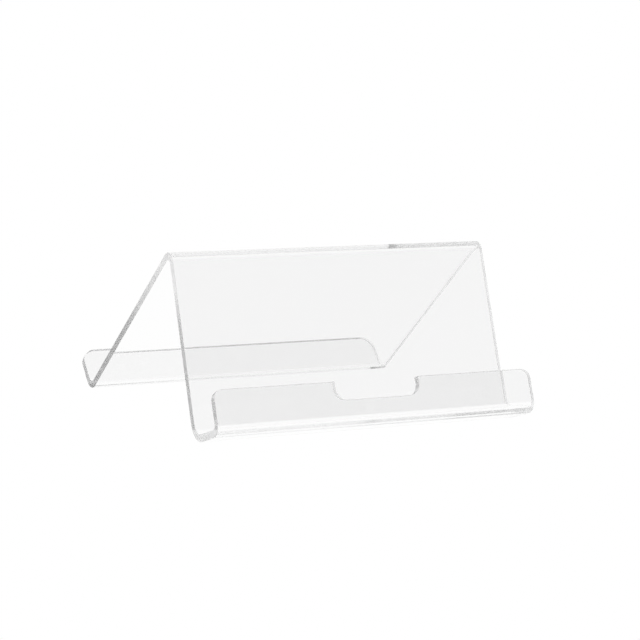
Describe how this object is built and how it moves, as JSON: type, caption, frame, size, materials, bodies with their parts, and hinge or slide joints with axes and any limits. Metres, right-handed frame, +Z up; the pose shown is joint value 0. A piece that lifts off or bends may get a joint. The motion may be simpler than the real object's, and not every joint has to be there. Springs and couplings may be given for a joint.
{
  "type": "phone stand",
  "caption": "Clear acrylic desk stand folded from a single strip of sheet: sloping rest, front tray and lip with a finger notch, long back slope and turned-up rear lip.",
  "frame": {"origin": "on the desk, at the centre of the bounding box in X and Y", "axes": "+X to the right across the stand, seen by someone facing the rest; +Y to the rear; +Z up"},
  "size_m": [0.14, 0.1422, 0.0684],
  "materials": {
    "clear_acrylic": "clear and colourless with glossy faces and satin, polished saw-cut edges"
  },
  "bodies": {
    "root": {"bent_sheet": "clear_acrylic"}
  },
  "joints": []
}
